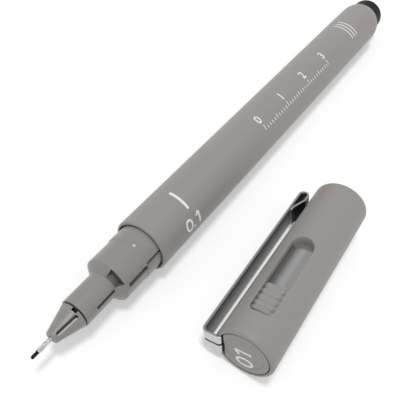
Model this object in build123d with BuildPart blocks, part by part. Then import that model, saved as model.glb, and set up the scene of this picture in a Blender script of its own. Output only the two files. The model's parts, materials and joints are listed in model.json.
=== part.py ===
"""A fineliner pen lying beside its pulled-off cap.

Millimetres, +Z up. The pen's axis is the X axis, with the nib towards -X. The origin is the middle
of the barrel's straight wall, so the table that the pen lies on is one barrel radius below it.
Angles around an axis are counted in degrees from straight up, towards +Y.
"""

import os
from math import atan2, cos, degrees, radians, sin

from build123d import *

os.makedirs("parts", exist_ok=True)

# Fits and cuts that every piece shares
press_gap = 0.02  # radial gap of a piece that is pressed into another
loose_gap = 0.1  # gap round a piece that lies loosely in another
end_gap = 0.3  # free length at the ends of the ink reservoir
overrun = 1.0  # how far a cut runs past the surface that it opens
half_turn = 180
quarter_turn = 90

# Barrel
barrel_radius = 5.25
barrel_length = 97.95
barrel_wall = 0.85
mouth_rim_flat = 0.05
mouth_recess_step = 0.4
mouth_recess_depth = 1.4
tail_length = 2.9
tail_radius = 4.35
tail_wall = 3.9

# Tail plug
plug_stem_radius = 3.2
plug_stem_reach = 0.5
plug_step = 0.1
plug_taper = 0.15
plug_length = 4.4
plug_round = 0.8

# Front section: a stem inside the barrel, a ring that seats in its mouth and holds the cap, a collar
# and the tip holder
stem_length = 12.0
stem_wall = 0.56
stem_floor = 2.6
ring_step = 0.15
ring_length = 3.4
ring_slope_length = 0.3
collar_radius = 4.35
collar_length = 8.7
collar_round = 0.15
shoulder_length = 1.2
holder_radius = 2.7
holder_length = 6.65
holder_round = 0.12

# Air windows in the shoulder, air grooves along the ring, the collar and the holder, and grip pips
window_turn = -8.0
window_arc = 46.0
window_depth = 0.35
window_lip = 0.12
groove_turn = -66.0
groove_depth = 0.45
ring_groove_turn = -58.0
ring_groove_width = 0.6
collar_groove_width = 0.85
collar_groove_stop = 0.65
holder_groove_width = 0.6
holder_groove_length = 4.2
pip_turn = -8.0
pip_radius = 0.5
pip_height = 0.12
pip_place = 3.1

# Tip cone
cone_neck_depth = 0.32
cone_neck_length = 0.25
cone_base_step = 0.18
cone_nose_radius = 1.1
cone_length = 4.95
cone_stem_radius = 1.85
cone_stem_length = 4.3
cone_round = 0.15
cone_slot_turn = -31.0
cone_slot_width = 0.75
cone_slot_length = 4.1
cone_slot_depth = 0.6
vent_turn = -9.0
vent_width = 0.95
vent_reach = 0.5
vent_depth = 1.2

# Steel sleeve, nib, wick and ink reservoir
sleeve_radius = 0.4
sleeve_reach = 2.85
sleeve_grip = 2.4
nib_radius = 0.28
nib_round_share = 0.65
nib_reach = 1.25
wick_radius = 0.95
wick_dip = 8.0
wrap_thickness = 0.1

# Cap: where it lies, counted from the barrel's mouth, and how it is turned
cap_ahead = 5.55
cap_aside = 24.75
cap_yaw = 1.43
cap_roll = 15.0
cap_radius = 5.32
cap_length = 39.05
crown_round = 0.6
cap_mouth_round = 0.25
cap_play = 0.15
cap_bore_length = 10.75
crown_rim = 0.75
crown_round_share = 0.8  # of the rim's width that its round may take
crown_seat = 1.5
crown_web = 1.4
crown_cavity_wall = 0.3

# Inner cap that seals the tip holder
liner_wall = 0.73
liner_length = 17.8
liner_inset = 0.3
liner_floor = 1.2
liner_chamfer = 0.4
seal_gap = 0.05

# End disc of the cap
disc_recess = 0.05
disc_edge = 0.08
disc_border = 0.85
disc_dish = 0.2

# Clip: one bent steel strip
clip_turn = 93.0  # angle from the thumb recess to the clip
clip_width = 4.1
clip_thickness = 0.42
clip_lift = 2.05
clip_proud = 0.3
clip_leg_inset = 1.15
clip_leg_length = 2.5
clip_flex_room = 0.45
clip_reach = 37.55
clip_root_bend = 0.4
clip_arm_bend = 0.9
clip_nose_bend_share = 0.4
clip_nose_gap = 0.35
clip_barb_length = 2.6
clip_flap_length = 6.2
clip_flap_gap = 0.08
clip_slit_width = 0.45
clip_slit_margin = 0.55

# Thumb recess in the side of the cap
recess_start = 4.65
recess_end = 23.0
recess_width = 3.8
recess_wall = 0.5
recess_corner = 0.9
recess_pocket_share = 0.5  # of the floor's wall that is left under the pocket at the recess's end
recess_pocket_length = 1.35
rib_count = 5
rib_start = 5.95
rib_end = 11.0
rib_radius = 0.55
rib_rise_share = 0.55
rib_tuck = 0.15  # length of each rib's end in the side of the recess

# Places along the pen
mouth_round = barrel_wall - mouth_recess_step - mouth_rim_flat
barrel_straight = barrel_length - mouth_round - tail_length
mouth_x = -(barrel_straight / 2 + mouth_round)
tail_start_x = barrel_straight / 2
tail_x = tail_start_x + tail_length
bore_end_x = tail_x - tail_wall
plug_stem_x = bore_end_x - plug_stem_reach
stem_x = mouth_x + stem_length
stem_floor_x = mouth_x + stem_floor
ring_back_x = mouth_x + mouth_recess_depth - press_gap
ring_front_x = mouth_x - ring_length
collar_x = mouth_x - collar_length
shoulder_x = collar_x - shoulder_length
holder_x = shoulder_x - holder_length
cone_base_x = holder_x - cone_neck_length
cone_nose_x = cone_base_x - cone_length
cone_stem_x = holder_x + cone_stem_length
sleeve_front_x = cone_nose_x - sleeve_reach
sleeve_back_x = cone_nose_x + sleeve_grip
nib_x = sleeve_front_x - nib_reach
reservoir_front_x = stem_floor_x + end_gap
reservoir_back_x = plug_stem_x - end_gap
wick_back_x = reservoir_front_x + wick_dip

# Radii that follow from what goes into what
barrel_bore_radius = barrel_radius - barrel_wall
mouth_recess_radius = barrel_bore_radius + mouth_recess_step
stem_radius = barrel_bore_radius - press_gap
stem_bore_radius = stem_radius - stem_wall
ring_radius = collar_radius + ring_step
wrap_radius = stem_bore_radius - loose_gap
reservoir_radius = wrap_radius - wrap_thickness - press_gap
plug_hole_radius = plug_stem_radius + press_gap
plug_base_radius = tail_radius - plug_step
plug_end_radius = plug_base_radius - plug_taper
cone_base_radius = holder_radius - cone_base_step
cone_neck_radius = cone_base_radius - cone_neck_depth
cone_socket_radius = cone_stem_radius + press_gap
wick_bore_radius = wick_radius + press_gap
sleeve_bore_radius = nib_radius + press_gap
cone_bore_radius = sleeve_radius + press_gap
liner_bore_radius = holder_radius + seal_gap
liner_socket_radius = liner_bore_radius + liner_wall + press_gap
cap_bore_radius = ring_radius + cap_play
crown_hole_radius = cap_radius - crown_rim
disc_radius = crown_hole_radius - loose_gap
dish_radius = disc_radius - disc_border

# Rounds of the cap's rims, which leave some of their wall flat
crown_rim_round = min(crown_round, crown_round_share * crown_rim)
mouth_rim_round = min(cap_mouth_round, (cap_radius - cap_bore_radius) / 2)

# Places along the cap, counted from its crown
cap_bore_s = cap_length - cap_bore_length
liner_rim_s = cap_bore_s - liner_inset
liner_s = liner_rim_s - liner_length
web_s = crown_seat + crown_web
clip_plate_s = clip_thickness / 2 - clip_proud
clip_foot_s = clip_plate_s + clip_leg_length
clip_tip_s = clip_reach - clip_thickness / 2
clip_barb_s = clip_reach - clip_barb_length
clip_flap_s = clip_reach - clip_flap_length
clip_leg_radius = cap_radius - clip_leg_inset
clip_arm_radius = cap_radius + clip_lift + clip_thickness / 2
clip_nose_radius = cap_radius + clip_nose_gap + clip_thickness / 2
clip_nose_bend = clip_nose_bend_share * (clip_arm_radius - clip_nose_radius)
clip_flap_radius = clip_arm_radius - clip_thickness - clip_flap_gap
clip_slot_width = clip_width + 2 * loose_gap
clip_slot_inner = clip_leg_radius - clip_thickness / 2 - clip_flex_room
clip_slot_outer = clip_leg_radius + clip_thickness / 2 + loose_gap
clip_slot_depth = clip_foot_s + loose_gap
clip_notch_depth = clip_thickness - clip_proud + loose_gap
clip_slit_inner = clip_leg_radius - clip_thickness
clip_slit_outer = clip_arm_radius - clip_slit_margin
clip_slit_depth = clip_plate_s + clip_thickness + clip_root_bend / 2
crown_cavity_radius = clip_slot_inner - crown_cavity_wall
recess_floor = liner_socket_radius + recess_wall
recess_depth = cap_radius - recess_floor
recess_half = recess_width / 2
recess_bend_s = recess_end - recess_half
recess_pocket_floor = liner_socket_radius + recess_pocket_share * recess_wall
recess_pocket_s = recess_end - recess_pocket_length
rib_axis = recess_floor + rib_rise_share * recess_depth - rib_radius
rib_pitch = (rib_end - rib_start) / (rib_count - 1)


def out_direction(frame, turn):
    """Direction straight out from a frame's x axis, at an angle from its z towards its y."""
    return frame.z_dir * cos(radians(turn)) + frame.y_dir * sin(radians(turn))


def profile_plane(frame, turn):
    """Plane through a frame's x axis, whose y points straight out at an angle."""
    out = out_direction(frame, turn)
    return Plane(frame.origin, x_dir=frame.x_dir, z_dir=frame.x_dir.cross(out))


def facing_plane(frame, turn, along, height, slant=0):
    """Plane that faces out at an angle, some way along the x axis and out from it.

    Its own x runs along the frame's x, and climbs away from it by the slant.
    """
    out = out_direction(frame, turn)
    climb = frame.x_dir * cos(radians(slant)) + out * sin(radians(slant))
    face = out * cos(radians(slant)) - frame.x_dir * sin(radians(slant))
    return Plane(frame.origin + frame.x_dir * along + out * height, x_dir=climb, z_dir=face)


def both_sides(turn):
    """An angle and the one opposite it."""
    return (turn, turn + half_turn)


# The cap lies level on the table, rolled so that its frame has x from crown to mouth and z towards
# the thumb recess. The clip's frame is turned about the same axis, with y towards the clip.
pen_frame = Plane.XY
level_frame = Plane(
    origin=(mouth_x - cap_ahead, -cap_aside, cap_radius - barrel_radius),
    x_dir=(cos(radians(cap_yaw)), sin(radians(cap_yaw)), 0),
    z_dir=(0, 0, 1),
)
cap_frame = Plane(level_frame.origin, x_dir=level_frame.x_dir, z_dir=out_direction(level_frame, cap_roll))
clip_roll = clip_turn - quarter_turn
clip_frame = Plane(cap_frame.origin, x_dir=cap_frame.x_dir, z_dir=out_direction(cap_frame, clip_roll))
cap_axis = Axis(cap_frame.origin, cap_frame.x_dir)


# Barrel: a tube with a rounded mouth and a tail that curves in
with BuildPart() as barrel:
    with BuildSketch(pen_frame):
        with BuildLine():
            rim = Line((mouth_x, mouth_recess_radius), (mouth_x, barrel_radius - mouth_round))
            lip = TangentArc(rim @ 1, (mouth_x + mouth_round, barrel_radius), tangent=(0, 1))
            wall = Line(lip @ 1, (tail_start_x, barrel_radius))
            tail = TangentArc(wall @ 1, (tail_x, tail_radius), tangent=(1, 0))
            Polyline(
                tail @ 1,
                (tail_x, plug_hole_radius),
                (bore_end_x, plug_hole_radius),
                (bore_end_x, barrel_bore_radius),
                (mouth_x + mouth_recess_depth, barrel_bore_radius),
                (mouth_x + mouth_recess_depth, mouth_recess_radius),
                rim @ 0,
            )
        make_face()
    revolve(axis=Axis.X)
barrel.part.label = "barrel"
export_step(barrel.part, "parts/barrel.step")

# Tail plug: a stem pressed into the tail and a round-ended head
with BuildPart() as tail_plug:
    with BuildSketch(pen_frame):
        with BuildLine():
            Polyline(
                (plug_stem_x, 0),
                (plug_stem_x, plug_stem_radius),
                (tail_x, plug_stem_radius),
                (tail_x, plug_base_radius),
                (tail_x + plug_length, plug_end_radius),
                (tail_x + plug_length, 0),
                close=True,
            )
        make_face()
    revolve(axis=Axis.X)
    fillet(tail_plug.edges().filter_by(GeomType.CIRCLE).group_by(Axis.X)[-1], plug_round)
tail_plug.part.label = "tail_plug"
export_step(tail_plug.part, "parts/tail_plug.step")

# Front section: turned body, then its air windows, grooves and grip pips
with BuildPart() as front_section:
    with BuildSketch(pen_frame):
        with BuildLine():
            FilletPolyline(
                (stem_x, stem_bore_radius),
                (stem_x, stem_radius),
                (ring_back_x, stem_radius),
                (ring_back_x, ring_radius),
                (ring_front_x, ring_radius),
                (ring_front_x - ring_slope_length, collar_radius),
                (collar_x, collar_radius),
                (shoulder_x, holder_radius),
                (holder_x, holder_radius),
                (holder_x, cone_socket_radius),
                (cone_stem_x, cone_socket_radius),
                (cone_stem_x, wick_bore_radius),
                (stem_floor_x, wick_bore_radius),
                (stem_floor_x, stem_bore_radius),
                radius=[0, 0, 0, 0, 0, 0, collar_round, 0, holder_round, 0, 0, 0, 0, 0],
                close=True,
            )
        make_face()
    revolve(axis=Axis.X)
    for turn in both_sides(window_turn):
        with BuildSketch(profile_plane(pen_frame, turn)):
            with BuildLine():
                Polyline(
                    (shoulder_x - overrun, holder_radius + window_lip),
                    (collar_x + window_depth, holder_radius + window_lip),
                    (collar_x + window_depth, collar_radius - window_lip),
                    (shoulder_x - overrun, collar_radius - window_lip),
                    close=True,
                )
            make_face()
        revolve(axis=Axis.X, revolution_arc=window_arc, mode=Mode.SUBTRACT)
    for turn in both_sides(ring_groove_turn):
        ring_groove_x = (ring_front_x + ring_back_x) / 2
        with BuildSketch(facing_plane(pen_frame, turn, ring_groove_x, collar_radius - groove_depth)):
            Rectangle(ring_back_x - ring_front_x, ring_groove_width)
        extrude(amount=groove_depth + overrun, mode=Mode.SUBTRACT)
    for turn in both_sides(groove_turn):
        collar_groove_length = collar_length - ring_length - collar_groove_stop
        collar_groove_x = ring_front_x - collar_groove_length / 2
        with BuildSketch(facing_plane(pen_frame, turn, collar_groove_x, collar_radius - groove_depth)):
            Rectangle(collar_groove_length, collar_groove_width)
        extrude(amount=groove_depth + overrun, mode=Mode.SUBTRACT)
        holder_groove_x = shoulder_x - holder_groove_length / 2
        with BuildSketch(facing_plane(pen_frame, turn, holder_groove_x, holder_radius - groove_depth)):
            Rectangle(holder_groove_length, holder_groove_width)
        extrude(amount=groove_depth + overrun, mode=Mode.SUBTRACT)
    for turn in both_sides(pip_turn):
        pip_height_out = ring_radius + pip_height - pip_radius
        with Locations(facing_plane(pen_frame, turn, mouth_x - pip_place, pip_height_out)):
            Sphere(pip_radius)
front_section.part.label = "front_section"
export_step(front_section.part, "parts/front_section.step")

# Tip cone: a stem in the holder, a neck that leaves a thin dark ring, and a slotted cone
with BuildPart() as tip_cone:
    with BuildSketch(pen_frame):
        with BuildLine():
            FilletPolyline(
                (cone_stem_x, wick_bore_radius),
                (cone_stem_x, cone_stem_radius),
                (holder_x, cone_stem_radius),
                (holder_x, cone_neck_radius),
                (cone_base_x, cone_neck_radius),
                (cone_base_x, cone_base_radius),
                (cone_nose_x, cone_nose_radius),
                (cone_nose_x, cone_bore_radius),
                (sleeve_back_x, cone_bore_radius),
                (sleeve_back_x, wick_bore_radius),
                radius=[0, 0, 0, 0, 0, 0, cone_round, 0, 0, 0],
                close=True,
            )
        make_face()
    revolve(axis=Axis.X)
    cone_slant = degrees(atan2(cone_base_radius - cone_nose_radius, cone_length))
    cone_mid_x = (cone_base_x + cone_nose_x) / 2
    cone_mid_radius = (cone_base_radius + cone_nose_radius) / 2
    for turn in both_sides(cone_slot_turn):
        slant_plane = facing_plane(pen_frame, turn, cone_mid_x, cone_mid_radius, cone_slant)
        with BuildSketch(slant_plane.offset(-cone_slot_depth)):
            SlotOverall(cone_slot_length, cone_slot_width)
        extrude(amount=cone_slot_depth + overrun, mode=Mode.SUBTRACT)
    vent_length = cone_neck_length + vent_reach
    vent_x = holder_x - vent_length / 2
    for turn in both_sides(vent_turn):
        with BuildSketch(facing_plane(pen_frame, turn, vent_x, cone_base_radius - vent_depth)):
            Rectangle(vent_length, vent_width)
        extrude(amount=vent_depth + overrun, mode=Mode.SUBTRACT)
tip_cone.part.label = "tip_cone"
export_step(tip_cone.part, "parts/tip_cone.step")

# Steel sleeve that guides the nib
with BuildPart() as tip_sleeve:
    with BuildSketch(Plane.YZ.offset(sleeve_front_x)):
        Circle(sleeve_radius)
        Circle(sleeve_bore_radius, mode=Mode.SUBTRACT)
    extrude(amount=sleeve_back_x - sleeve_front_x)
tip_sleeve.part.label = "tip_sleeve"
export_step(tip_sleeve.part, "parts/tip_sleeve.step")

# Writing nib: a thin rod with a round tip, ending against the wick
with BuildPart() as writing_nib:
    with BuildSketch(Plane.YZ.offset(nib_x)):
        Circle(nib_radius)
    extrude(amount=sleeve_back_x - nib_x)
    nib_round = nib_radius * nib_round_share
    fillet(writing_nib.edges().filter_by(GeomType.CIRCLE).group_by(Axis.X)[0], nib_round)
writing_nib.part.label = "writing_nib"
export_step(writing_nib.part, "parts/writing_nib.step")

# Wick that feeds ink from the reservoir to the nib
with BuildPart() as feed_wick:
    with BuildSketch(Plane.YZ.offset(sleeve_back_x)):
        Circle(wick_radius)
    extrude(amount=wick_back_x - sleeve_back_x)
feed_wick.part.label = "feed_wick"
export_step(feed_wick.part, "parts/feed_wick.step")

# Ink reservoir: a fibre rod that takes the wick in its front end
with BuildPart() as ink_reservoir:
    with BuildSketch(Plane.YZ.offset(reservoir_front_x)):
        Circle(reservoir_radius)
    extrude(amount=reservoir_back_x - reservoir_front_x)
    with BuildSketch(Plane.YZ.offset(reservoir_front_x - overrun)):
        Circle(wick_bore_radius)
    extrude(amount=overrun + wick_dip, mode=Mode.SUBTRACT)
ink_reservoir.part.label = "ink_reservoir"
export_step(ink_reservoir.part, "parts/ink_reservoir.step")

# Film wrapped round the reservoir
with BuildPart() as reservoir_wrap:
    with BuildSketch(Plane.YZ.offset(reservoir_front_x)):
        Circle(wrap_radius)
        Circle(wrap_radius - wrap_thickness, mode=Mode.SUBTRACT)
    extrude(amount=reservoir_back_x - reservoir_front_x)
reservoir_wrap.part.label = "reservoir_wrap"
export_step(reservoir_wrap.part, "parts/reservoir_wrap.step")

# Cutter for the thumb recess: its outline, less the round floor and the deeper pocket at its end
with BuildPart() as recess_cutter:
    with BuildSketch(cap_frame):
        with BuildLine():
            FilletPolyline(
                (recess_bend_s, recess_half),
                (recess_start, recess_half),
                (recess_start, -recess_half),
                (recess_bend_s, -recess_half),
                radius=recess_corner,
            )
            ThreePointArc((recess_bend_s, -recess_half), (recess_end, 0), (recess_bend_s, recess_half))
        make_face()
    extrude(amount=cap_radius + overrun)
    with BuildSketch(profile_plane(cap_frame, 0)):
        with BuildLine():
            Polyline(
                (recess_start - overrun, 0),
                (recess_start - overrun, recess_floor),
                (recess_pocket_s, recess_floor),
                (recess_pocket_s, recess_pocket_floor),
                (recess_end + overrun, recess_pocket_floor),
                (recess_end + overrun, 0),
                close=True,
            )
        make_face()
    revolve(axis=cap_axis, mode=Mode.SUBTRACT)

# Cap shell: turned body with the ribbed thumb recess, then its bores and the clip's slot and notch
with BuildPart() as cap_shell:
    with BuildSketch(profile_plane(cap_frame, 0)):
        with BuildLine():
            FilletPolyline(
                (0, 0),
                (0, cap_radius),
                (cap_length, cap_radius),
                (cap_length, 0),
                radius=[0, crown_rim_round, mouth_rim_round, 0],
                close=True,
            )
        make_face()
    revolve(axis=cap_axis)
    add(recess_cutter.part, mode=Mode.SUBTRACT)
    for rib in range(rib_count):
        rib_s = rib_start + rib * rib_pitch
        with BuildSketch(profile_plane(cap_frame, 0)):
            with Locations((rib_s, rib_axis)):
                Circle(rib_radius)
            with Locations((rib_s, rib_axis / 2)):
                Rectangle(2 * rib_radius, rib_axis)
        extrude(amount=recess_half + rib_tuck, both=True)
    with BuildSketch(profile_plane(cap_frame, 0)):
        with BuildLine():
            Polyline(
                (-overrun, 0),
                (-overrun, crown_hole_radius),
                (crown_seat, crown_hole_radius),
                (crown_seat, 0),
                close=True,
            )
        make_face()
        with BuildLine():
            Polyline(
                (web_s, 0),
                (web_s, crown_cavity_radius),
                (liner_s, crown_cavity_radius),
                (liner_s, liner_socket_radius),
                (cap_bore_s, liner_socket_radius),
                (cap_bore_s, cap_bore_radius),
                (cap_length + overrun, cap_bore_radius),
                (cap_length + overrun, 0),
                close=True,
            )
        make_face()
    revolve(axis=cap_axis, mode=Mode.SUBTRACT)
    with BuildSketch(clip_frame):
        with BuildLine():
            Polyline(
                (-overrun, clip_slot_inner),
                (clip_slot_depth, clip_slot_inner),
                (clip_slot_depth, clip_slot_outer),
                (clip_notch_depth, clip_slot_outer),
                (clip_notch_depth, cap_radius + overrun),
                (-overrun, cap_radius + overrun),
                close=True,
            )
        make_face()
    extrude(amount=clip_slot_width / 2, both=True, mode=Mode.SUBTRACT)
cap_shell.part.label = "cap_shell"
export_step(cap_shell.part, "parts/cap_shell.step")

# Inner cap that closes over the tip holder
with BuildPart() as inner_cap:
    with BuildSketch(cap_frame):
        with BuildLine():
            Polyline(
                (liner_s, 0),
                (liner_s, liner_bore_radius + liner_wall),
                (liner_rim_s, liner_bore_radius + liner_wall),
                (liner_rim_s, liner_bore_radius + liner_chamfer),
                (liner_rim_s - liner_chamfer, liner_bore_radius),
                (liner_s + liner_floor, liner_bore_radius),
                (liner_s + liner_floor, 0),
                close=True,
            )
        make_face()
    revolve(axis=cap_axis)
inner_cap.part.label = "inner_cap"
export_step(inner_cap.part, "parts/inner_cap.step")

# End disc of the cap, with a shallow dish and a flat beside the clip
with BuildPart() as end_disc:
    with BuildSketch(profile_plane(cap_frame, 0)):
        with BuildLine():
            FilletPolyline(
                (disc_recess + disc_dish, 0),
                (disc_recess + disc_dish, dish_radius - disc_dish),
                (disc_recess, dish_radius),
                (disc_recess, disc_radius),
                (crown_seat, disc_radius),
                (crown_seat, 0),
                radius=[0, 0, 0, disc_edge, 0, 0],
                close=True,
            )
        make_face()
    revolve(axis=cap_axis)
    with BuildSketch(clip_frame):
        with BuildLine():
            Polyline(
                (-overrun, clip_slot_inner),
                (crown_seat + overrun, clip_slot_inner),
                (crown_seat + overrun, cap_radius),
                (-overrun, cap_radius),
                close=True,
            )
        make_face()
    extrude(amount=cap_radius, both=True, mode=Mode.SUBTRACT)
end_disc.part.label = "end_disc"
export_step(end_disc.part, "parts/end_disc.step")

# Clip: leg in the crown's slot, slit plate across the crown, straight arm and folded-back nose
with BuildPart() as clip:
    with BuildSketch(clip_frame):
        with BuildLine():
            FilletPolyline(
                (clip_foot_s, clip_leg_radius),
                (clip_plate_s, clip_leg_radius),
                (clip_plate_s, clip_arm_radius),
                (clip_tip_s, clip_arm_radius),
                (clip_tip_s, clip_nose_radius),
                (clip_barb_s, clip_nose_radius),
                (clip_flap_s, clip_flap_radius),
                radius=[clip_root_bend, clip_arm_bend, clip_nose_bend, clip_nose_bend, clip_nose_bend],
            )
        trace(line_width=clip_thickness)
    extrude(amount=clip_width / 2, both=True)
    with BuildSketch(clip_frame):
        with BuildLine():
            Polyline(
                (-overrun, clip_slit_inner),
                (clip_slit_depth, clip_slit_inner),
                (clip_slit_depth, clip_slit_outer),
                (-overrun, clip_slit_outer),
                close=True,
            )
        make_face()
    extrude(amount=clip_slit_width / 2, both=True, mode=Mode.SUBTRACT)
clip.part.label = "clip"
export_step(clip.part, "parts/clip.step")
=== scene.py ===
"""Looks of a fineliner pen lying beside its pulled-off cap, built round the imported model.

Metres, in the model's own frame: the pen's axis is the X axis, with the nib towards -X, and the table
that pen and cap lie on is one barrel radius below it. Sizes of pieces are named in millimetres.
"""

import json
from math import cos, hypot, pi, radians, sin, sqrt

import bmesh
import bpy
from mathutils import Matrix, Vector


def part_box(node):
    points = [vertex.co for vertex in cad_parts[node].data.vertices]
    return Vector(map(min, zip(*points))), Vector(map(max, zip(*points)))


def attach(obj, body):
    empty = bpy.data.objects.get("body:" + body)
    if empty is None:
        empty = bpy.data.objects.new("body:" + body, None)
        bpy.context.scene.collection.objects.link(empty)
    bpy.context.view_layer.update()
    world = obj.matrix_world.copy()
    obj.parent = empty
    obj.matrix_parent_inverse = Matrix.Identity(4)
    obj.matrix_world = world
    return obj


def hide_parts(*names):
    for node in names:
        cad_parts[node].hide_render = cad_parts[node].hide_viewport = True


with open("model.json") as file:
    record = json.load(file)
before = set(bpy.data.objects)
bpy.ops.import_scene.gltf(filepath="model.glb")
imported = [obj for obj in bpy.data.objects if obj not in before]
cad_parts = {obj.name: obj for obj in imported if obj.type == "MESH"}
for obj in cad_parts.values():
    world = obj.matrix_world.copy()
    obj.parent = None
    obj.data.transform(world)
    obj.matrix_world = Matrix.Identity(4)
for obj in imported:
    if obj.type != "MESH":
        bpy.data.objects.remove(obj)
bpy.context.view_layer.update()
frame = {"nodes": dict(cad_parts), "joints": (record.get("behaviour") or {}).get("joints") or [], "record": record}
nodes = frame["nodes"]
joints = {joint["name"]: joint for joint in frame["joints"]}
mounts = {mount["name"]: mount for mount in frame["record"]["mounts"]}
mm = 0.001

# Camera, fitted to the photograph
camera_place = Vector((-96.125, -28.66, 83.09)) * mm
camera_target = Vector((-28.055, -0.33, -5.25)) * mm
camera_roll = radians(15.05)
camera_lens = 51.79

# Stage
table_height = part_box("barrel")[0].z
table_size = 3.0
table_colour = (0.88, 0.88, 0.88, 1)
table_roughness = 0.9
table_glow_colour = (1.0, 1.0, 1.0, 1)
table_glow = 0.3
sky_colour = (1.0, 1.0, 1.0, 1)
sky_shown = 1.0
sky_strength = 0.49
lamp_place = Vector((-0.035, 0.035, 0.6))
lamp_angle = radians(13)
lamp_strength = 1.17

# Finishes: the grain that all of them have, and the grey plastic that barrel and cap share
grain_detail = 3.0
grain_strength = 0.5
grey_low = (0.315, 0.294, 0.28)
grey_high = (0.345, 0.322, 0.307)
grey_rough = (0.42, 0.52)
grey_grain = 0.25
grey_depth = 0.004
# Colour of the shade painted along the thumb recess's clip-side wall, between its ribs and in its pocket
painted_shade_colour = (0.06, 0.057, 0.055)

# Places of the finishes among the materials of the pieces that have more than one: the recess's polished flat,
# painted shade on the clip's inner side and nose, in grooves, windows, slots and vent, and painted highlights on
# pips and slot edges
plain_finish = 0
recess_finish = 1
inner_shaded_finish = 1
flap_shade_finish = 2
groove_shade_finish = 1
pip_highlight_finish = 2
window_shade_finish = 3
slot_shade_finish = 1
vent_shade_finish = 2
slot_edge_highlight_finish = 3

# Meshes: least angle between faces that stays sharp, and the steps of curves and surfaces
sharp_angle = radians(35)
crown_round_steps = 8
mouth_round_steps = 5
cap_turn_step = radians(5)
clip_bend_steps = 12
clip_edge_steps = 3
quarter_turn = 90
fine_step = 0.12
coarse_step = 1.5

# Frame of the cap: along from crown to mouth, side towards the clip, out towards the thumb recess
clip_turn = radians(93)
cap_along = -Vector(joints["cap_slide"]["axis"])
clip_across = Vector(joints["clip_flex"]["axis"])
clip_out = clip_across.cross(cap_along)
cap_out = clip_out * cos(clip_turn) + clip_across * sin(clip_turn)
cap_side = cap_out.cross(cap_along)
cap_mouth = Vector(mounts["cap_bore"]["pos_m"])
cap_start = min((v.co - cap_mouth).dot(cap_along) for v in nodes["cap_shell"].data.vertices)
cap_crown = cap_mouth + cap_along * cap_start

# Cap shell, in mm from the crown
cap_radius = 5.32
cap_length = 39.05
crown_round = 0.6
crown_seat = 1.5
crown_hole_radius = 4.65
crown_edge = 0.06
cap_mouth_round = 0.25
cap_bore_radius = 4.65
cap_bore_start = 28.3
cap_bore_edge = 0.12
liner_socket_radius = 3.5
liner_socket_start = 10.2
cavity_radius = 3.21
cavity_start = 2.9

# Thumb recess in the cap, with its ribs, its pocket and the shade painted in it, in mm in the cap's frame
recess_start = 5.1
recess_end = 23.0
recess_middle = 0.17
recess_half_width = 2.07
recess_corner = 1.1
recess_floor = 4.0
recess_wall = 0.3
recess_crown_slope = 0.6
recess_least_wall = 0.15
recess_lip = 0.15
recess_margin = 1.0
recess_half_angle = radians(36)
pocket_start = 21.65
pocket_drop = 0.25
pocket_slope = 0.15
rib_count = 5
rib_start = 5.95
rib_pitch = 1.2625
rib_top = 4.73
rib_depth = 0.26
rib_end_depth = 0.65
rib_end_start = 0.9
rib_sharpness = 0.5
# Painted shade in the recess: its strength, how far it reaches from the wall over the flat and between the ribs,
# and its strength in the pocket
painted_shade_share = 0.8
painted_shade_width = 1.7
rib_painted_shade_width = 0.8
pocket_painted_shade_share = 0.45
side_drop = 0.75
side_drop_start = -0.3
side_drop_end = 2.0

# Clip strip, in mm in the clip's own plane: along the cap, away from the cap's axis, bend radius
clip_width = 4.1
clip_thickness = 0.46
clip_edge = 0.1
clip_path = [
    (2.41, 4.17, 0.0),
    (-0.09, 4.17, 0.4),
    (-0.09, 7.38, 0.9),
    (37.34, 7.54, 0.8),
    (37.34, 5.9, 0.8),
    (35.2, 5.88, 1.2),
    (32.5, 7.06, 1.5),
    (31.4, 7.08, 0.0),
]
flap_end = 31.0
flap_bend = 35.2
clip_slot_inner = 3.51
clip_slot_outer = 4.48
clip_slot_depth = 2.51
clip_slot_half_width = 2.15
clip_notch_depth = 0.22
clip_slit_inner = 3.75
clip_slit_outer = 7.03
clip_slit_depth = 0.53
clip_slit_half_width = 0.225
cutter_reach = 1.0

# Marks on the barrel, in mm from its mouth and in degrees from the top
mouth_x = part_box("barrel")[0].x / mm
barrel_radius = -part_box("barrel")[0].z / mm
print_lift = 0.012
print_thickness = 0.02
print_boldness = 0.015
print_step = 0.25
print_stroke = 0.45
print_layer = 0.003
print_ring_steps = 36
stroke_corners = 4
dash_place = 9.3
dash_turns = (-34.0, 15.0)
dash_width = 0.55
width_mark_place = 8.95
width_mark_turn = -63.5
width_zero = (-1.13, 0.0, 0.76, 1.09)
width_dot = (0.24, -1.05)
width_one = ((1.03, 0.6), (1.85, 1.2), (1.85, -1.34))
scale_start = 37.0
scale_length = 30
scale_unit = 10
scale_half_unit = 5
scale_turn = -40.0
scale_tick_width = 0.22
scale_tick = 0.7
scale_half_tick = 1.0
scale_unit_tick = 1.3
scale_number_height = 2.0
scale_number_turn = -9.0
stroke_places = (81.3, 82.6, 83.9)
stroke_turns = (-38.0, 28.0)
stroke_width = 0.35

# Number on the disc, in mm from the cap's axis towards the recess and towards the clip
disc_floor = 0.25
disc_stroke = 0.47
disc_zero = (-2.33, -0.05, 0.86, 1.36)
disc_one = ((-0.78, 0.92), (0.24, 1.66), (0.24, -1.29))

# Front section and tip cone, in mm from the barrel's mouth towards the nib
ring_end = 3.4
collar_end = 8.7
shoulder_end = 9.9
holder_end = 16.55
cone_base = 16.8
cone_end = 21.75
vent_end = 17.35
collar_radius = 4.35
holder_radius = 2.7
cone_base_radius = 2.52
cone_nose_radius = 1.1
pip_radius = 4.54
groove_floor_radius = 2.2
hollow_edge = 0.07
window_start = 8.35
slot_turn = radians(31)
slot_out = Vector((0, -sin(slot_turn), cos(slot_turn)))
slot_side = Vector((0, -cos(slot_turn), -sin(slot_turn)))
# Distance from each slot's middle beyond which its lower side takes the painted highlight, in mm
slot_highlight_place = 0.21

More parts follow.
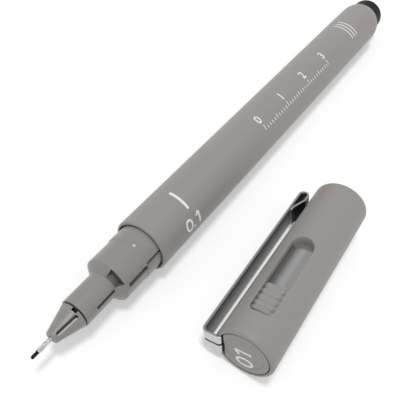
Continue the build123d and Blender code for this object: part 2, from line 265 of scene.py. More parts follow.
# Least part of a face's normal along the pen that makes it an end wall of a window
end_wall_normal = 0.5


def new_object(name, mesh, material, body):
    """Links a piece that rides on a body, with its material if one is given."""
    if material:
        mesh.materials.append(material)
    piece = bpy.data.objects.new(name, mesh)
    bpy.context.scene.collection.objects.link(piece)
    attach(piece, body)
    return piece


def grained(
    name, low, high, rough, grain, depth, metallic=0.0, specular=0.5, stretch=(1, 1, 1), painted_shade=None
):
    """Material with a fine grain, given in mm, in its colour, its roughness and its surface.

    A colour of painted shade covers it as far as the mesh's own attribute for that shade says.
    """
    material = bpy.data.materials.new(name)
    material.use_nodes = True
    tree = material.node_tree
    link = tree.links.new
    shader = tree.nodes["Principled BSDF"]
    shader.inputs["Metallic"].default_value = metallic
    shader.inputs["Specular IOR Level"].default_value = specular
    place = tree.nodes.new("ShaderNodeTexCoord")
    mapping = tree.nodes.new("ShaderNodeMapping")
    mapping.inputs["Scale"].default_value = stretch
    noise = tree.nodes.new("ShaderNodeTexNoise")
    noise.inputs["Scale"].default_value = 1 / (grain * mm)
    noise.inputs["Detail"].default_value = grain_detail
    colour = tree.nodes.new("ShaderNodeMix")
    colour.data_type = "RGBA"
    colour.inputs["A"].default_value = (*low, 1)
    colour.inputs["B"].default_value = (*high, 1)
    roughness = tree.nodes.new("ShaderNodeMapRange")
    roughness.inputs["To Min"].default_value = rough[0]
    roughness.inputs["To Max"].default_value = rough[1]
    bump = tree.nodes.new("ShaderNodeBump")
    bump.inputs["Strength"].default_value = grain_strength
    bump.inputs["Distance"].default_value = depth * mm
    link(place.outputs["Object"], mapping.inputs["Vector"])
    link(mapping.outputs["Vector"], noise.inputs["Vector"])
    link(noise.outputs["Fac"], colour.inputs["Factor"])
    link(noise.outputs["Fac"], roughness.inputs["Value"])
    link(noise.outputs["Fac"], bump.inputs["Height"])
    if painted_shade:
        # Painted shade, mixed over the colour as far as the mesh's attribute says
        painted_shade_node = tree.nodes.new("ShaderNodeAttribute")
        painted_shade_node.attribute_name = "painted_shade"
        shaded_colour = tree.nodes.new("ShaderNodeMix")
        shaded_colour.data_type = "RGBA"
        shaded_colour.inputs["B"].default_value = (*painted_shade, 1)
        link(painted_shade_node.outputs["Fac"], shaded_colour.inputs["Factor"])
        link(colour.outputs["Result"], shaded_colour.inputs["A"])
        colour = shaded_colour
    link(colour.outputs["Result"], shader.inputs["Base Color"])
    link(roughness.outputs["Result"], shader.inputs["Roughness"])
    link(bump.outputs["Normal"], shader.inputs["Normal"])
    return material


def body_plastic():
    """Matt grey plastic of the barrel."""
    return grained("body_plastic", grey_low, grey_high, grey_rough, grey_grain, grey_depth)


def cap_plastic():
    """Matt grey plastic of the cap, with painted shade in the thumb recess."""
    return grained(
        "cap_plastic", grey_low, grey_high, grey_rough, grey_grain, grey_depth, painted_shade=painted_shade_colour
    )


def recess_plastic():
    """Polished flat of the thumb recess, with painted shade near its wall."""
    return grained(
        "recess_plastic",
        low=(0.36, 0.352, 0.356),
        high=(0.375, 0.367, 0.371),
        rough=(0.3, 0.34),
        grain=0.5,
        depth=0.0005,
        painted_shade=painted_shade_colour,
    )


def disc_plastic():
    """Grey plastic of the disc in the crown, a little lighter than the cap's."""
    return grained(
        "disc_plastic",
        low=(0.325, 0.304, 0.289),
        high=(0.355, 0.332, 0.317),
        rough=(0.38, 0.46),
        grain=0.25,
        depth=0.004,
    )


def section_plastic():
    """Grey plastic of the front section and the tip cone, smoother than the barrel's."""
    return grained(
        "section_plastic",
        low=(0.28, 0.264, 0.254),
        high=(0.312, 0.294, 0.282),
        rough=(0.28, 0.36),
        grain=0.3,
        depth=0.003,
    )


def groove_plastic():
    """Plastic of the windows and grooves, darkened as painted shade in these hollows."""
    return grained(
        "groove_plastic",
        low=(0.15, 0.143, 0.138),
        high=(0.17, 0.162, 0.157),
        rough=(0.5, 0.6),
        grain=0.3,
        depth=0.004,
    )


def window_plastic():
    """Bottom of the air windows, in the darkest painted shade of them."""
    return grained(
        "window_plastic",
        low=(0.13, 0.124, 0.12),
        high=(0.15, 0.143, 0.138),
        rough=(0.5, 0.6),
        grain=0.3,
        depth=0.004,
    )


def slot_plastic():
    """Plastic of the cone's slots, nearly black as painted shade."""
    return grained(
        "slot_plastic",
        low=(0.05, 0.048, 0.047),
        high=(0.07, 0.067, 0.065),
        rough=(0.4, 0.5),
        grain=0.3,
        depth=0.004,
    )


def worn_plastic():
    """Plastic of the grip pips, lighter as a painted highlight."""
    return grained(
        "worn_plastic",
        low=(0.55, 0.54, 0.53),
        high=(0.68, 0.67, 0.66),
        rough=(0.2, 0.3),
        grain=0.15,
        depth=0.003,
    )


def slot_edge_plastic():
    """Lower edge of the cone's slots, light as a painted highlight."""
    return grained(
        "slot_edge_plastic",
        low=(0.64, 0.63, 0.62),
        high=(0.8, 0.79, 0.78),
        rough=(0.2, 0.3),
        grain=0.15,
        depth=0.003,
    )


def vent_ink():
    """Near-black painted shade in the vent and the neck under the cone."""
    return grained(
        "vent_ink",
        low=(0.004, 0.004, 0.005),
        high=(0.01, 0.01, 0.012),
        rough=(0.4, 0.5),
        grain=0.2,
        depth=0.004,
        specular=0.1,
    )


def plug_plastic():
    """Black plastic of the tail plug."""
    return grained(
        "plug_plastic",
        low=(0.006, 0.006, 0.007),
        high=(0.01, 0.01, 0.011),
        rough=(0.34, 0.44),
        grain=0.3,
        depth=0.004,
        specular=0.06,
    )


def liner_plastic():
    """Natural plastic of the liner in the cap."""
    return grained(
        "liner_plastic",
        low=(0.66, 0.65, 0.62),
        high=(0.72, 0.71, 0.68),
        rough=(0.35, 0.45),
        grain=0.4,
        depth=0.003,
    )


def wrap_film():
    """Thin pale film round the reservoir."""
    return grained(
        "wrap_film",
        low=(0.75, 0.75, 0.74),
        high=(0.82, 0.82, 0.81),
        rough=(0.16, 0.26),
        grain=0.8,
        depth=0.01,
    )


def ink_fibre():
    """Lengthwise fibres of the reservoir and the wick, full of ink."""
    return grained(
        "ink_fibre",
        low=(0.01, 0.01, 0.014),
        high=(0.03, 0.03, 0.04),
        rough=(0.7, 0.9),
        grain=0.2,
        depth=0.05,
        stretch=(0.06, 1, 1),
    )


def nib_fibre():
    """Hard black fibre of the nib."""
    return grained(
        "nib_fibre",
        low=(0.004, 0.004, 0.005),
        high=(0.01, 0.01, 0.011),
        rough=(0.5, 0.7),
        grain=0.08,
        depth=0.01,
        specular=0.15,
        stretch=(0.2, 1, 1),
    )


def sleeve_steel():
    """Mottled steel of the tube round the nib."""
    return grained(
        "sleeve_steel",
        low=(0, 0, 0),
        high=(1, 1, 0.99),
        rough=(0.18, 0.28),
        grain=0.4,
        depth=0.001,
        metallic=1.0,
    )


def clip_steel():
    """Outer side of the clip's strip, brushed lengthwise."""
    return grained(
        "clip_steel",
        low=(0.5, 0.508, 0.508),
        high=(0.59, 0.598, 0.598),
        rough=(0.22, 0.32),
        grain=0.08,
        depth=0.001,
        metallic=1.0,
        stretch=(0.05, 1, 1),
    )


def clip_inner_steel():
    """Side of the strip which faces the cap: the same steel, darker as painted shade of the shaded gap it
    reflects.
    """
    return grained(
        "clip_inner_steel",
        low=(0.22, 0.223, 0.226),
        high=(0.27, 0.274, 0.277),
        rough=(0.34, 0.46),
        grain=0.08,
        depth=0.001,
        metallic=1.0,
        stretch=(0.05, 1, 1),
    )


def flap_steel():
    """Free end of the clip's folded nose, black as painted shade."""
    return grained(
        "flap_steel",
        low=(0.03, 0.03, 0.03),
        high=(0.045, 0.045, 0.045),
        rough=(0.5, 0.6),
        grain=0.08,
        depth=0.001,
        metallic=1.0,
        stretch=(0.05, 1, 1),
    )


def print_white():
    """White printing ink."""
    return grained(
        "print_white",
        low=(0.93, 0.93, 0.92),
        high=(0.98, 0.98, 0.97),
        rough=(0.4, 0.5),
        grain=0.15,
        depth=0.002,
    )


def dress_nodes():
    """Gives each CAD node that stays in view, or hides inside, its finish."""
    finishes = {
        "barrel": body_plastic,
        "tail_plug": plug_plastic,
        "tip_sleeve": sleeve_steel,
        "writing_nib": nib_fibre,
        "feed_wick": ink_fibre,
        "ink_reservoir": ink_fibre,
        "reservoir_wrap": wrap_film,
        "inner_cap": liner_plastic,
        "end_disc": disc_plastic,
    }
    made = {}
    for name, finish in finishes.items():
        made[finish] = made.get(finish) or finish()
        nodes[name].data.materials.clear()
        nodes[name].data.materials.append(made[finish])


def smooth_step(low, high, value):
    """Share from 0 to 1 that rises softly while the value goes from low to high."""
    share = min(max((value - low) / (high - low), 0.0), 1.0)
    return share * share * (3 - 2 * share)


def recess_distance(along, side):
    """Distance from the recess's outline, with its round corners and half-round end; negative inside."""
    round_start = recess_end - recess_half_width
    if along > round_start:
        return hypot(along - round_start, side - recess_middle) - recess_half_width
    ahead = recess_start + recess_corner - along
    aside = abs(side - recess_middle) - recess_half_width + recess_corner
    return hypot(max(ahead, 0), max(aside, 0)) + min(max(ahead, aside), 0) - recess_corner


def recess_height(along, side):
    """Height of the recess's bottom above the cap's axis.

    From the crown on it has ribs, a floor that falls towards the clip, and a pocket.
    """
    drop = pocket_drop * smooth_step(pocket_start - pocket_slope, pocket_start + pocket_slope, along)
    rib = (along - rib_start) / rib_pitch
    nearest = round(rib)
    if 0 <= nearest < rib_count:
        end_share = smooth_step(rib_end_start, recess_half_width, abs(side - recess_middle))
        depth = rib_depth + (rib_end_depth - rib_depth) * end_share
        return rib_top - depth * (1 - cos(pi * (rib - nearest)) ** rib_sharpness)
    lowest = sqrt((liner_socket_radius + recess_least_wall) ** 2 - side ** 2)
    drop += side_drop * smooth_step(side_drop_start, side_drop_end, side)
    return max(recess_floor - drop, lowest)


def pressed(along, side, out):
    """Height of the cap's outer surface, with the recess pressed into it."""
    crown_share = smooth_step(recess_start + recess_corner, recess_start, along)
    wall = recess_wall + recess_crown_slope * crown_share
    share = smooth_step(recess_lip, -wall, recess_distance(along, side))
    return min(out, out + (recess_height(along, side) - out) * share)


def recess_grime(along, side, out):
    """Share of painted shade on a point of the cap: strongest along the clip side of the recess, below its wall.
    """
    depth = -recess_distance(along, side)
    if depth < 0 or out < 0 or hypot(side, out) < liner_socket_radius + hollow_edge:
        return 0.0
    if along > pocket_start:
        return pocket_painted_shade_share * smooth_step(0, recess_wall, depth)
    reach = painted_shade_width if along > rib_start + rib_count * rib_pitch else rib_painted_shade_width
    edge = smooth_step(0, recess_wall / 2, depth) * smooth_step(reach, recess_wall, depth)
    return painted_shade_share * edge * smooth_step(-recess_half_width, 0, side)


def spread(low, high, step):
    """Even values from low to high, without high, about a step apart."""
    count = max(1, round((high - low) / step))
    return [low + (high - low) * i / count for i in range(count)]


def quarter(centre_along, centre_radius, radius, start, end, count):
    """Points of a quarter round of a turned profile."""
    turns = [start + (end - start) * i / count for i in range(count + 1)]
    return [(centre_along + radius * cos(turn), centre_radius + radius * sin(turn)) for turn in turns]


def cap_profile():
    """Profile of the cap from the crown's seat, over the outside, to the end of the inner cavity."""
    wall_start = crown_round
    wall_end = cap_length - cap_mouth_round
    fine_start = recess_start - recess_margin
    fine_end = recess_end + recess_margin
    points = [(crown_seat, 0), (crown_seat, crown_hole_radius), (crown_edge, crown_hole_radius)]
    points += [(0, crown_hole_radius + crown_edge)]
    crown_centre = cap_radius - crown_round
    points += quarter(crown_round, crown_centre, crown_round, pi, pi / 2, crown_round_steps)[:-1]
    points += [(along, cap_radius) for along in spread(wall_start, fine_start, coarse_step)]
    points += [(along, cap_radius) for along in spread(fine_start, fine_end, fine_step)]
    points += [(along, cap_radius) for along in spread(fine_end, wall_end, coarse_step)]
    mouth_centre = cap_radius - cap_mouth_round
    points += quarter(wall_end, mouth_centre, cap_mouth_round, pi / 2, 0, mouth_round_steps)
    points += [(cap_length, cap_bore_radius + cap_bore_edge)]
    points += [(cap_length - cap_bore_edge, cap_bore_radius)]
    points += [(cap_bore_start, cap_bore_radius), (cap_bore_start, liner_socket_radius)]
    points += [(liner_socket_start, liner_socket_radius), (liner_socket_start, cavity_radius)]
    points += [(cavity_start, cavity_radius), (cavity_start, 0)]
    return points


def cap_turns():
    """Angles round the cap, fine across the recess."""
    fine = spread(-recess_half_angle, recess_half_angle, fine_step / cap_radius)
    return fine + spread(recess_half_angle, 2 * pi - recess_half_angle, cap_turn_step)


def cap_point(along, side, out):
    """Point of the model that lies at a place, in mm, in the cap's frame."""
    return cap_crown + (cap_along * along + cap_side * side + cap_out * out) * mm


def cap_place(point):
    """Where a point lies in the cap's frame, in mm: along, to the side and out."""
    place = (point - cap_crown) / mm
    return place.dot(cap_along), place.dot(cap_side), place.dot(cap_out)


def clip_point(along, out, across):
    """Point of the model that lies at a place, in mm, in the clip's frame."""
    return cap_crown + (cap_along * along + clip_out * out + clip_across * across) * mm


def turned_cap_mesh():
    """Closed mesh of the cap's profile turned about its axis, with the recess pressed in."""
    turns = cap_turns()
    points = []
    rings = []
    for along, radius in cap_profile():
        rings.append(range(len(points), len(points) + (len(turns) if radius else 1)))
        for turn in turns if radius else [0]:
            side = radius * sin(turn)
            out = radius * cos(turn)
            if radius == cap_radius and cos(turn) > cos(recess_half_angle):
                out = pressed(along, side, out)
            points.append(cap_point(along, side, out))
    faces = []
    for ring, after in zip(rings, rings[1:]):
        for i in range(len(turns)):
            j = (i + 1) % len(turns)
            if len(ring) == 1:
                faces.append((ring[0], after[j], after[i]))
            elif len(after) == 1:
                faces.append((ring[i], ring[j], after[0]))
            else:
                faces.append((ring[i], ring[j], after[j], after[i]))
    mesh = bpy.data.meshes.new("cap_cover")
    mesh.from_pydata(points, [], faces)
    return mesh


def prism_mesh(outline, half_width):
    """Closed mesh of an outline in the clip's own plane, as thick as twice the half width."""
    points = []
    for across in (-half_width, half_width):
        points += [clip_point(along, out, across) for along, out in outline]
    count = len(outline)
    faces = [tuple(range(count)), tuple(reversed(range(count, 2 * count)))]
    faces += [(i, i + count, (i + 1) % count + count, (i + 1) % count) for i in range(count)]
    mesh = bpy.data.meshes.new("prism")
    mesh.from_pydata(points, [], faces)
    return mesh


def clip_slot_mesh():
    """Slot and notch in the crown that the clip's leg and plate go into."""
    outline = [
        (-cutter_reach, clip_slot_inner),
        (clip_slot_depth, clip_slot_inner),
        (clip_slot_depth, clip_slot_outer),
        (clip_notch_depth, clip_slot_outer),
        (clip_notch_depth, cap_radius + cutter_reach),
        (-cutter_reach, cap_radius + cutter_reach),
    ]
    return prism_mesh(outline, clip_slot_half_width)


def clip_slit_mesh():
    """Slit along the middle of the clip's plate."""
    outline = [
        (-cutter_reach, clip_slit_inner),
        (clip_slit_depth, clip_slit_inner),
        (clip_slit_depth, clip_slit_outer),
        (-cutter_reach, clip_slit_outer),
    ]
    return prism_mesh(outline, clip_slit_half_width)


def face_outwards(mesh):
    """Turns all faces of a closed mesh outwards and shades it smooth between its sharp edges."""
    work = bmesh.new()
    work.from_mesh(mesh)
    bmesh.ops.recalc_face_normals(work, faces=work.faces)
    work.to_mesh(mesh)
    work.free()
    mesh.shade_smooth()
    mesh.set_sharp_from_angle(angle=sharp_angle)


def cut(mesh, cutter_mesh):
    """A mesh less a cutter, as a new mesh."""
    for each in (mesh, cutter_mesh):
        face_outwards(each)
    target = bpy.data.objects.new("cut_target", mesh)
    cutter = bpy.data.objects.new("cutter", cutter_mesh)
    for each in (target, cutter):
        bpy.context.scene.collection.objects.link(each)
    boolean = target.modifiers.new("cut", "BOOLEAN")
    boolean.operation = "DIFFERENCE"
    boolean.solver = "EXACT"
    boolean.object = cutter
    result = bpy.data.meshes.new_from_object(target.evaluated_get(bpy.context.evaluated_depsgraph_get()))
    for each in (target, cutter):
        bpy.data.objects.remove(each)
    return result


def make_cap():
    """Cap shell with a softly pressed, ribbed thumb recess and the clip's slot."""
    mesh = cut(turned_cap_mesh(), clip_slot_mesh())
    face_outwards(mesh)
    mesh.materials.clear()
    mesh.name = "cap_cover"
    cap = new_object("cap_cover", mesh, cap_plastic(), "cap")
    mesh.materials.append(recess_plastic())
    flat_start = rib_start + rib_count * rib_pitch - rib_pitch / 2
    for face in mesh.polygons:
        along, side, out = cap_place(face.center)
        outside = out > 0 and hypot(side, out) > liner_socket_radius + hollow_edge
        if outside and recess_distance(along, side) < 0 and flat_start < along < pocket_start:
            face.material_index = recess_finish
    # Painted shade along the recess's clip-side wall, between its ribs and in its pocket, kept in an attribute of
    # the mesh
    painted_shade = mesh.attributes.new("painted_shade", "FLOAT", "POINT")
    for vertex in mesh.vertices:
        painted_shade.data[vertex.index].value = recess_grime(*cap_place(vertex.co))
    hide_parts("cap_shell")


def rounded_path(corners, steps):
    """Points and directions of a path whose corners are rounded by their own radii."""
    path = []
    for i, (along, out, radius) in enumerate(corners):
        here = Vector((along, out))
        if not radius:
            near = corners[1] if i == 0 else corners[-2]
            ahead = (Vector(near[:2]) - here).normalized() * (1 if i == 0 else -1)
            path.append((here, ahead))
            continue
        back = (here - Vector(corners[i - 1][:2])).normalized()
        ahead = (Vector(corners[i + 1][:2]) - here).normalized()
        angle = back.angle_signed(ahead)
        reach = radius * abs(sin(angle / 2) / cos(angle / 2))
        turn = 1 if back.x * ahead.y - back.y * ahead.x > 0 else -1
        centre = here - back * reach + Vector((-back.y, back.x)) * radius * turn
        for step in range(steps + 1):
            spin = Matrix.Rotation(turn * abs(angle) * step / steps, 2)
            path.append((centre + spin @ (here - back * reach - centre), spin @ back))
    return path


def strip_section():
    """Points round the strip's section, as (across, through), with rounded edges."""
    half_width = clip_width / 2 - clip_edge
    half_thickness = clip_thickness / 2 - clip_edge
    corners = [(half_width, half_thickness), (-half_width, half_thickness)]
    corners += [(-half_width, -half_thickness), (half_width, -half_thickness)]
    points = []
    for order, (across, through) in enumerate(corners):
        for step in range(clip_edge_steps + 1):
            angle = radians(quarter_turn * order + quarter_turn * step / clip_edge_steps)
            points.append((across + clip_edge * cos(angle), through + clip_edge * sin(angle)))
    return points


def make_clip():
    """Clip of one steel strip swept along its bends, with a slit in its plate."""
    section = strip_section()
    count = len(section)
    points = []
    folded = []
    for place, ahead in rounded_path(clip_path, clip_bend_steps):
        folded.append(ahead.x < 0 and flap_end < place.x < flap_bend)
        normal = Vector((-ahead.y, ahead.x))
        for across, through in section:
            spot = place + normal * through
            points.append(clip_point(spot.x, spot.y, across))
    ends = [tuple(range(count)), tuple(reversed(range(len(points) - count, len(points))))]
    faces = ends[:]
    for here in range(0, len(points) - count, count):
        there = here + count
        for i in range(count):
            j = (i + 1) % count
            faces.append((here + i, here + j, there + j, there + i))
    mesh = bpy.data.meshes.new("clip_strip")
    mesh.from_pydata(points, [], faces)
    mesh.materials.append(clip_steel())
    mesh.materials.append(clip_inner_steel())
    mesh.materials.append(flap_steel())
    # The strip's side towards the cap is darker as painted shade
    for face in mesh.polygons[len(ends):]:
        ring, i = divmod(face.index - len(ends), count)
        flat = section[i][1] + section[i + 1 - count][1] > clip_thickness - clip_edge / 2
        # The outer side of the folded nose's free end is black as painted shade
        if folded[ring] and flat:
            face.material_index = flap_shade_finish
        elif section[i][1] < 0:
            face.material_index = inner_shaded_finish
    slit = clip_slit_mesh()
    for material in mesh.materials:
        slit.materials.append(material)
    # The slit's walls take the same painted shade as the strip's side towards the cap
    for face in slit.polygons:
        face.material_index = inner_shaded_finish
    mesh = cut(mesh, slit)
    face_outwards(mesh)
    mesh.name = "clip_strip"
    clip = new_object("clip_strip", mesh, None, "clip")
    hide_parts("clip")


def section_finish(x, radius, normal):
    """Which finish of the front section a face takes: plain, painted shade in grooves, a painted highlight on
    pips, or painted shade in windows.
    """
    place = mouth_x - x
    if 0 < place < ring_end and radius > pip_radius:
        return pip_highlight_finish
    slope = min(max((place - collar_end) / (shoulder_end - collar_end), 0), 1)
    surface = collar_radius + (holder_radius - collar_radius) * slope
    hollow = groove_floor_radius < radius < surface - hollow_edge
    if not hollow or not ring_end < place < holder_end - hollow_edge:
        return plain_finish
    if not window_start - hollow_edge < place < shoulder_end - hollow_edge:
        return groove_shade_finish
    return plain_finish if abs(normal.x) > end_wall_normal else window_shade_finish


def cone_finish(x, radius, normal):
    """Which finish of the tip cone a face takes: plain, painted shade in the slots, or near-black painted shade in
    the vent.
    """
    place = mouth_x - x
    slope = min(max((place - cone_base) / (cone_end - cone_base), 0), 1)
    surface = cone_base_radius + (cone_nose_radius - cone_base_radius) * slope
    if not holder_end < place < cone_end - hollow_edge or radius > surface - hollow_edge:
        return plain_finish
    return vent_shade_finish if place < vent_end else slot_shade_finish


def make_finished(name, finish, materials):
    """Copy of a turned piece whose hollows take painted shade and whose pips a painted highlight, as materials of
    their own.
    """
    mesh = nodes[name].data.copy()
    mesh.materials.clear()
    piece = new_object(name + "_cover", mesh, materials[0], "pen")
    for material in materials[1:]:
        mesh.materials.append(material)
    for face in mesh.polygons:
        place = face.center / mm
        face.material_index = finish(place.x, hypot(place.y, place.z), face.normal)
    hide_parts(name)
    return mesh


def light_slots(mesh):
    """Parts the bottoms of the cone's two slots lengthwise, and gives one side of each a painted highlight."""
    work = bmesh.new()
    work.from_mesh(mesh)
    highlight_place = slot_highlight_place * mm
    for end in (1, -1):
        dark = [face for face in work.faces if face.material_index == slot_shade_finish]
        faces = [face for face in dark if face.calc_center_median().dot(slot_out) * end > 0]
        parts = faces + list({edge for face in faces for edge in face.edges})
        parts += list({vertex for face in faces for vertex in face.verts})
        bmesh.ops.bisect_plane(work, geom=parts, plane_co=slot_side * highlight_place * end, plane_no=slot_side)
        for face in work.faces:
            centre = face.calc_center_median() * end
            highlighted = centre.dot(slot_out) > 0 and centre.dot(slot_side) > highlight_place
            if face.material_index == slot_shade_finish and highlighted:
                face.material_index = slot_edge_highlight_finish
    work.to_mesh(mesh)
    work.free()


def make_front():
    """Front section and tip cone, with painted shade in windows, grooves, slots and vent, and painted highlights
    on pips and slot edges.
    """
    plastic = section_plastic()
    section_finishes = [plastic, groove_plastic(), worn_plastic(), window_plastic()]
    make_finished("front_section", section_finish, section_finishes)
    cone_finishes = [plastic, slot_plastic(), vent_ink(), slot_edge_plastic()]
    light_slots(make_finished("tip_cone", cone_finish, cone_finishes))


def text_mesh(words, height):
    """Flat closed mesh of printed words of a height, centred on the origin."""
    curve = bpy.data.curves.new("print", "FONT")
    curve.body = words
    curve.extrude = print_thickness
    curve.offset = print_boldness
    text = bpy.data.objects.new("print", curve)
    bpy.context.scene.collection.objects.link(text)
    bpy.context.view_layer.update()
    mesh = bpy.data.meshes.new_from_object(text.evaluated_get(bpy.context.evaluated_depsgraph_get()))
    bpy.data.objects.remove(text)
    low = [min(v.co[k] for v in mesh.vertices) for k in range(3)]
    high = [max(v.co[k] for v in mesh.vertices) for k in range(3)]
    scale = height / (high[1] - low[1])
    for vertex in mesh.vertices:
        level = print_lift + (print_thickness if vertex.co.z > 0 else 0)
        across = (vertex.co.x - (low[0] + high[0]) / 2) * scale
        upward = (vertex.co.y - (low[1] + high[1]) / 2) * scale
        vertex.co = (across, upward, level)
    return mesh


def bar_mesh(bars):
    """Flat closed mesh of printed bars, each given by its least and greatest x and y."""
    points = []
    faces = []
    for x0, x1, y0, y1 in bars:
        first = len(points)
        for level in (print_lift, print_lift + print_thickness):
            points += [(x0, y0, level), (x1, y0, level), (x1, y1, level), (x0, y1, level)]
        sides = [(3, 2, 1, 0), (4, 5, 6, 7), (0, 1, 5, 4), (1, 2, 6, 5), (2, 3, 7, 6), (3, 0, 4, 7)]
        faces += [tuple(first + corner for corner in side) for side in sides]
    mesh = bpy.data.meshes.new("print")
    mesh.from_pydata(points, [], faces)
    return mesh


def stroke_mesh(strokes, width):
    """Flat closed mesh of printed strokes, each a line of points, or a ring if it ends where it starts."""
    points = []
    faces = []
    for order, stroke in enumerate(strokes):
        ring = stroke[0] == stroke[-1]
        spots = [Vector(spot) for spot in (stroke[:-1] if ring else stroke)]
        first = len(points)
        count = len(spots)
        top = print_lift + print_thickness - order * print_layer
        for i, spot in enumerate(spots):
            before = spots[i - 1] if ring or i else spot
            after = spots[(i + 1) % count] if ring or i < count - 1 else spot
            ahead = (after - before).normalized()
            aside = Vector((-ahead.y, ahead.x)) * width / 2
            points += [(*(spot + aside), print_lift), (*(spot - aside), print_lift)]
            points += [(*(spot - aside), top), (*(spot + aside), top)]
        for i in range(count if ring else count - 1):
            here = first + stroke_corners * i
            there = first + stroke_corners * ((i + 1) % count)
            for j in range(stroke_corners):
                k = (j + 1) % stroke_corners
                faces.append((here + j, here + k, there + k, there + j))
        if not ring:
            last = first + stroke_corners * (count - 1)
            faces.append(tuple(reversed(range(first, first + stroke_corners))))
            faces.append(tuple(range(last, last + stroke_corners)))
    mesh = bpy.data.meshes.new("print")
    mesh.from_pydata(points, [], faces)
    face_outwards(mesh)
    return mesh


def zero_stroke(x, y, half_width, half_height):
    """Ring of a printed 0, as an ellipse."""
    turns = [2 * pi * i / print_ring_steps for i in range(print_ring_steps)] + [0]
    return [(x + half_width * sin(turn), y + half_height * cos(turn)) for turn in turns]


def one_strokes(flag, top, foot):
    """Stem and flag of a printed 1."""
    return [(top, foot), (flag, top)]


def wrap_on_barrel(mesh, place, turn):
    """Bends a flat print round the barrel: x along the barrel from its mouth, y round it."""
    work = bmesh.new()
    work.from_mesh(mesh)
    heights = [v.co.y for v in work.verts]
    for height in spread(min(heights), max(heights), print_step)[1:]:
        everything = work.verts[:] + work.edges[:] + work.faces[:]
        bmesh.ops.bisect_plane(work, geom=everything, plane_co=(0, height, 0), plane_no=(0, 1, 0))
    for vertex in work.verts:
        angle = radians(turn) + vertex.co.y / barrel_radius
        radius = barrel_radius + vertex.co.z
        along = mouth_x + place + vertex.co.x
        vertex.co = Vector((along, radius * sin(angle), radius * cos(angle))) * mm
    work.to_mesh(mesh)
    work.free()
    return mesh


def make_barrel_print(material):
    """White print on the barrel: dash, line width, a ruler's scale and three strokes near the tail."""
    dash_low, dash_high = (radians(turn) * barrel_radius for turn in dash_turns)
    dash = bar_mesh([(-dash_width / 2, dash_width / 2, dash_low, dash_high)])
    new_object("print_dash", wrap_on_barrel(dash, dash_place, 0), material, "pen")

    dot_x, dot_y = width_dot
    dot = ((dot_x, dot_y - print_stroke / 2), (dot_x, dot_y + print_stroke / 2))
    width_mark = stroke_mesh([zero_stroke(*width_zero), dot, *one_strokes(*width_one)], print_stroke)
    width_mark = wrap_on_barrel(width_mark, width_mark_place, width_mark_turn)
    new_object("print_width", width_mark, material, "pen")

    ticks = []
    for tick in range(scale_length + 1):
        if tick % scale_unit == 0:
            length = scale_unit_tick
        elif tick % scale_half_unit == 0:
            length = scale_half_tick
        else:
            length = scale_tick
        ticks.append((tick - scale_tick_width / 2, tick + scale_tick_width / 2, 0, length))
    scale = wrap_on_barrel(bar_mesh(ticks), scale_start, scale_turn)
    new_object("print_scale", scale, material, "pen")
    for number in range(scale_length // scale_unit + 1):
        digit = text_mesh(str(number), scale_number_height)
        digit = wrap_on_barrel(digit, scale_start + scale_unit * number, scale_number_turn)
        new_object(f"print_number_{number}", digit, material, "pen")

    stroke_low, stroke_high = (radians(turn) * barrel_radius for turn in stroke_turns)
    middle = stroke_places[1]
    strokes = []
    for place in stroke_places:
        start = place - middle - stroke_width / 2
        end = place - middle + stroke_width / 2
        strokes.append((start, end, stroke_low, stroke_high))
    strokes = wrap_on_barrel(bar_mesh(strokes), middle, 0)
    new_object("print_strokes", strokes, material, "pen")


def make_disc_print(material):
    """White line-width number on the disc in the crown."""
    mesh = stroke_mesh([zero_stroke(*disc_zero), *one_strokes(*disc_one)], disc_stroke)
    for vertex in mesh.vertices:
        vertex.co = cap_point(disc_floor - vertex.co.z, vertex.co.y, vertex.co.x)
    new_object("print_disc", mesh, material, "cap")


def make_camera():
    """Camera at the photograph's viewpoint, turned about its line of sight."""
    data = bpy.data.cameras.new("camera")
    data.lens = camera_lens
    data.clip_start = mm
    ahead = (camera_target - camera_place).normalized()
    level = ahead.cross(Vector((0, 0, 1))).normalized()
    right = cos(camera_roll) * level + sin(camera_roll) * level.cross(ahead)
    up = right.cross(ahead)
    camera = bpy.data.objects.new("camera", data)
    turned = Matrix((right, up, -ahead)).transposed().to_4x4()
    camera.matrix_world = Matrix.Translation(camera_place) @ turned
    bpy.context.scene.collection.objects.link(camera)
    bpy.context.scene.camera = camera


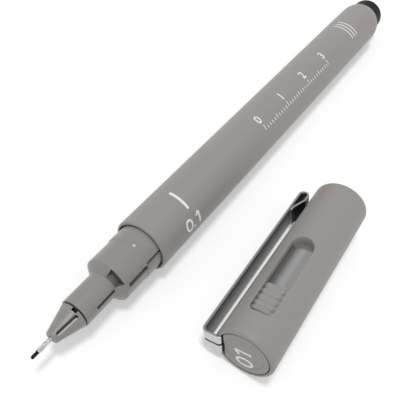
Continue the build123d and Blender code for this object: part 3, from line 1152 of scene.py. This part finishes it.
def shown_strength(tree, shown, highlighted):
    """Strength of a light that the camera and reflections show otherwise than it lights the object."""
    path = tree.nodes.new("ShaderNodeLightPath")
    seen = tree.nodes.new("ShaderNodeMath")
    seen.operation = "MAXIMUM"
    strength = tree.nodes.new("ShaderNodeMapRange")
    strength.inputs["To Min"].default_value = highlighted
    strength.inputs["To Max"].default_value = shown
    tree.links.new(path.outputs["Is Camera Ray"], seen.inputs[0])
    tree.links.new(path.outputs["Is Glossy Ray"], seen.inputs[1])
    tree.links.new(seen.outputs["Value"], strength.inputs["Value"])
    return strength.outputs["Result"]


def make_floor():
    """White table, which looks a little brighter than it is lit, so that its shadows stay light."""
    mesh = bpy.data.meshes.new("table")
    half = table_size / 2
    corners = [(-half, -half), (half, -half), (half, half), (-half, half)]
    mesh.from_pydata([(x, y, table_height) for x, y in corners], [], [(0, 1, 2, 3)])
    table = bpy.data.objects.new("table", mesh)
    bpy.context.scene.collection.objects.link(table)
    material = bpy.data.materials.new("table_white")
    material.use_nodes = True
    tree = material.node_tree
    shader = tree.nodes["Principled BSDF"]
    shader.inputs["Base Color"].default_value = table_colour
    shader.inputs["Roughness"].default_value = table_roughness
    shader.inputs["Specular IOR Level"].default_value = 0.0
    shader.inputs["Emission Color"].default_value = table_glow_colour
    tree.links.new(shown_strength(tree, table_glow, 0), shader.inputs["Emission Strength"])
    mesh.materials.append(material)


def make_lights():
    """Even white room, which lights less than it shows, and one far soft lamp overhead."""
    world = bpy.data.worlds.new("studio")
    bpy.context.scene.world = world
    world.use_nodes = True
    tree = world.node_tree
    background = tree.nodes["Background"]
    background.inputs["Color"].default_value = sky_colour
    tree.links.new(shown_strength(tree, sky_shown, sky_strength), background.inputs["Strength"])
    lamp = bpy.data.lights.new("softbox", "SUN")
    lamp.energy = lamp_strength
    lamp.angle = lamp_angle
    softbox = bpy.data.objects.new("softbox", lamp)
    softbox.location = lamp_place
    softbox.rotation_euler = (-lamp_place).to_track_quat("-Z", "Y").to_euler()
    bpy.context.scene.collection.objects.link(softbox)


bpy.context.scene.view_settings.view_transform = "Standard"
dress_nodes()
make_front()
make_cap()
make_clip()
ink = print_white()
make_barrel_print(ink)
make_disc_print(ink)
make_camera()
make_floor()
make_lights()
